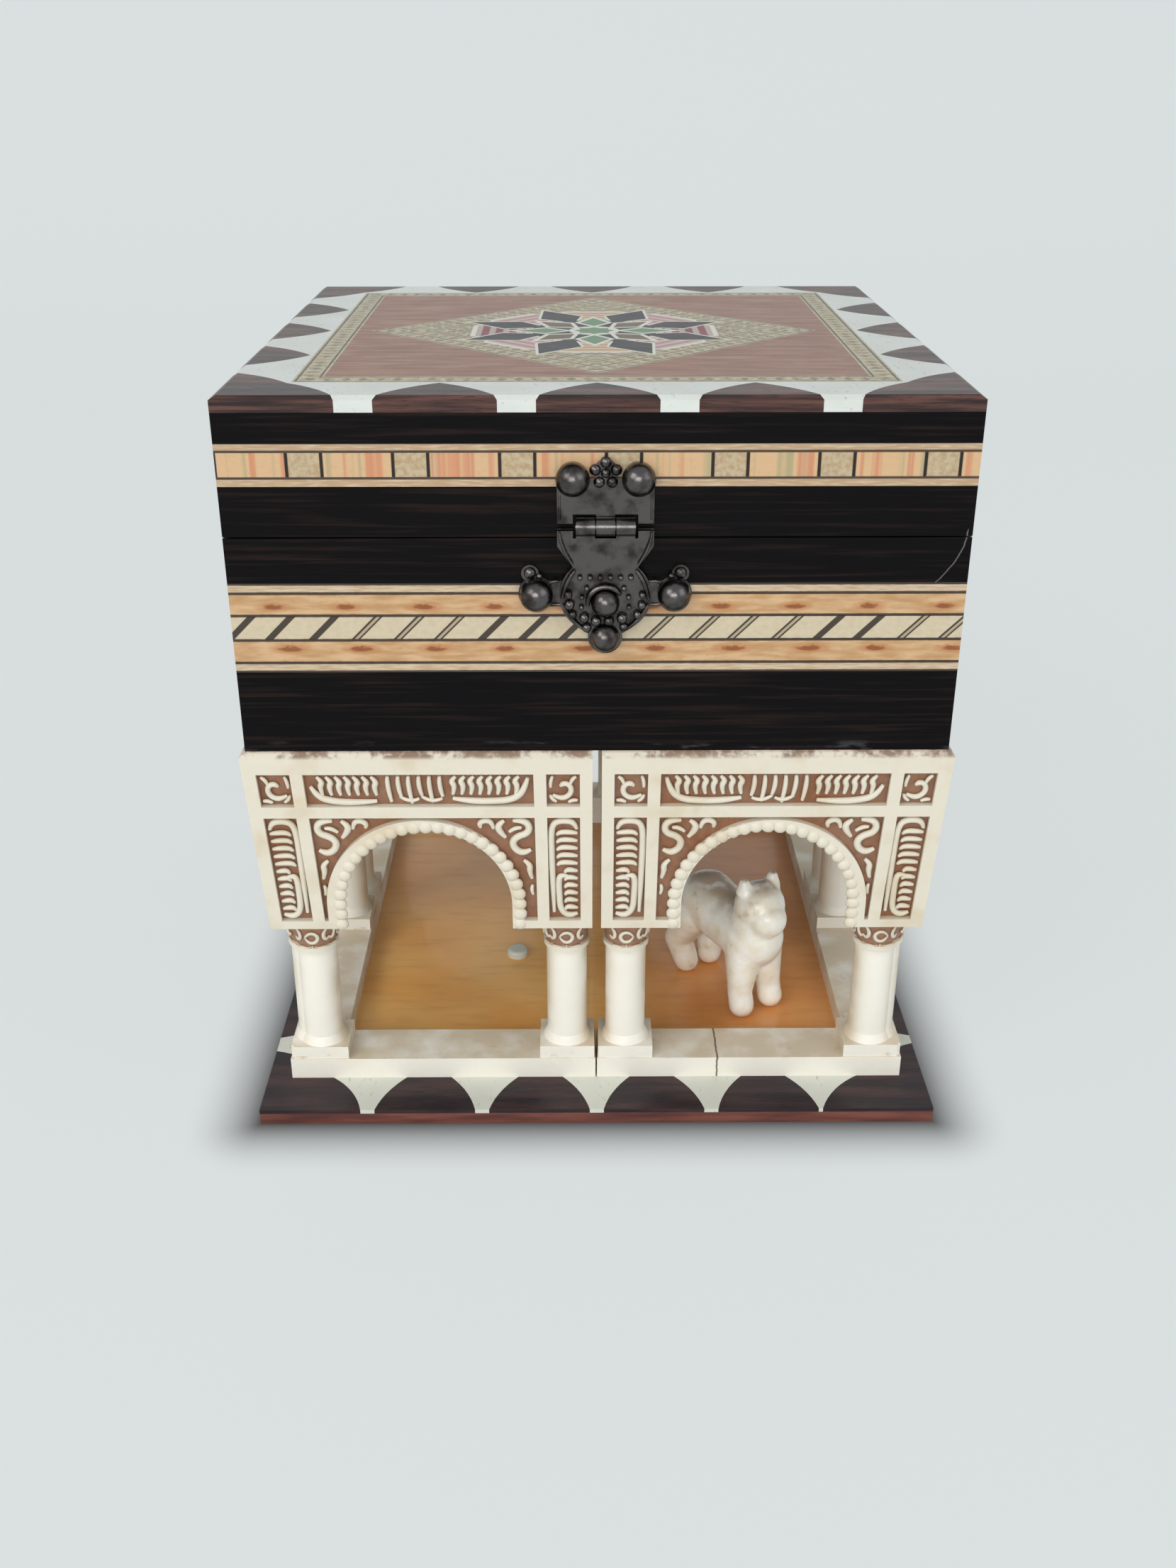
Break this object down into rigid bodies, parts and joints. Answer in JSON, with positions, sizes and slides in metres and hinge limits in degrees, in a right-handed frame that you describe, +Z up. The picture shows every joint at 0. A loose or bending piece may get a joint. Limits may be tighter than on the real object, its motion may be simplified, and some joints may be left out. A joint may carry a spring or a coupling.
{
  "type": "music box on an arcade",
  "caption": "Square inlaid music box with a clasped lid, carried on an open ring of carved arches over a small court with a lion; base plate with a leaf border.",
  "frame": {"origin": "centre of the base plate's underside", "axes": "+Z up; -Y is the front with the clasp; +X to the right seen from the front"},
  "size_m": [0.125, 0.136, 0.1323],
  "materials": {
    "ivory_resin": "cast, satin, brown wash in the hollows",
    "black_lacquer": "gloss lacquer",
    "rosewood": "gloss lacquer",
    "bone": "polished",
    "brown_board": "satin",
    "red_brown_wood": "gloss lacquer",
    "inlay_strip": "gloss lacquer",
    "mosaic": "gloss lacquer",
    "red_felt": "felt",
    "dark_bronze": "antique dark",
    "brass": "satin",
    "steel": "satin",
    "clear_cover": "clear"
  },
  "bodies": {
    "case": {"arcade_back_left": "ivory_resin", "arcade_back_right": "ivory_resin", "arcade_front_left": "ivory_resin", "arcade_front_right": "ivory_resin", "arcade_left_back": "ivory_resin", "arcade_left_front": "ivory_resin", "arcade_right_back": "ivory_resin", "arcade_right_front": "ivory_resin", "base_board": "brown_board", "base_border_bone": "bone", "base_border_rosewood": "rosewood", "body_inlay_strips": "inlay_strip", "body_lining": "red_felt", "body_wall_back": "black_lacquer", "body_wall_front": "black_lacquer", "body_wall_left": "black_lacquer", "body_wall_right": "black_lacquer", "box_floor": "black_lacquer", "clasp_catch": "dark_bronze", "clasp_catch_nails": "dark_bronze", "compartment_divider": "red_brown_wood", "courtyard_lion": "ivory_resin", "floor_peg": "bone", "governor_frame": "brass", "hinge_leaves_body": "brass", "hinge_nails_body": "brass", "hinge_pins": "brass", "mainspring": "steel", "movement_bedplate": "brass", "movement_cover": "clear_cover", "movement_screws": "steel", "patio_floor": "red_brown_wood", "spring_barrel": "brass", "tuned_comb": "steel"},
    "lid": {"lid_backing": "brown_board", "lid_border_bone": "bone", "lid_border_rosewood": "rosewood", "lid_field": "red_brown_wood", "lid_inlay_strips": "inlay_strip", "lid_lining": "red_felt", "lid_mosaic_band": "mosaic", "lid_star_lozenge": "mosaic", "lid_wall_back": "black_lacquer", "lid_wall_front": "black_lacquer", "lid_wall_left": "black_lacquer", "lid_wall_right": "black_lacquer", "clasp_hinge_plate": "dark_bronze", "clasp_plate_nails": "dark_bronze", "clasp_pin": "dark_bronze", "hinge_leaves_lid": "brass", "hinge_nails_lid": "brass"},
    "flap": {"clasp_flap": "dark_bronze"},
    "key": {"winding_key": "steel", "crown_wheel": "brass"},
    "cylinder": {"music_cylinder": "brass", "cylinder_gears": "brass"},
    "governor": {"governor_wheel": "brass"},
    "fan": {"governor_fan": "steel"},
    "stop": {"stop_pin": "steel"}
  },
  "joints": [
    {"name": "lid_hinge", "type": "hinge", "parent": "case", "child": "lid", "pos_m": [0, 0.0614, 0.1098], "axis": [-1, 0, 0], "range_deg": [0, 100]},
    {"name": "clasp_hinge", "type": "hinge", "parent": "lid", "child": "flap", "pos_m": [0.0012, -0.0616, 0.1121], "axis": [-1, 0, 0], "range_deg": [0, 110]},
    {"name": "cylinder_turn", "type": "hinge", "parent": "case", "child": "cylinder", "pos_m": [-0.017, 0.0285, 0.0927], "axis": [1, 0, 0], "continuous": true},
    {"name": "key_turn", "type": "hinge", "parent": "case", "child": "key", "pos_m": [-0.03, 0.0285, 0.0755], "axis": [0, 0, 1], "continuous": true},
    {"name": "governor_turn", "type": "hinge", "parent": "case", "child": "governor", "pos_m": [0.0096, 0.03818, 0.0927], "axis": [1, 0, 0], "continuous": true},
    {"name": "fan_turn", "type": "hinge", "parent": "case", "child": "fan", "pos_m": [0.0096, 0.04528, 0.0927], "axis": [0, 0, 1], "continuous": true},
    {"name": "stop_slide", "type": "slide", "parent": "case", "child": "stop", "axis": [0, 0, 1], "range_m": [0, 0.00205]}
  ],
  "couplings": [
    {"joint": "key_turn", "follows": "cylinder_turn", "ratio": 0.29412},
    {"joint": "governor_turn", "follows": "cylinder_turn", "ratio": -4},
    {"joint": "fan_turn", "follows": "cylinder_turn", "ratio": 88},
    {"joint": "stop_slide", "follows": "lid_hinge", "m_per_rad": 0.001146}
  ]
}
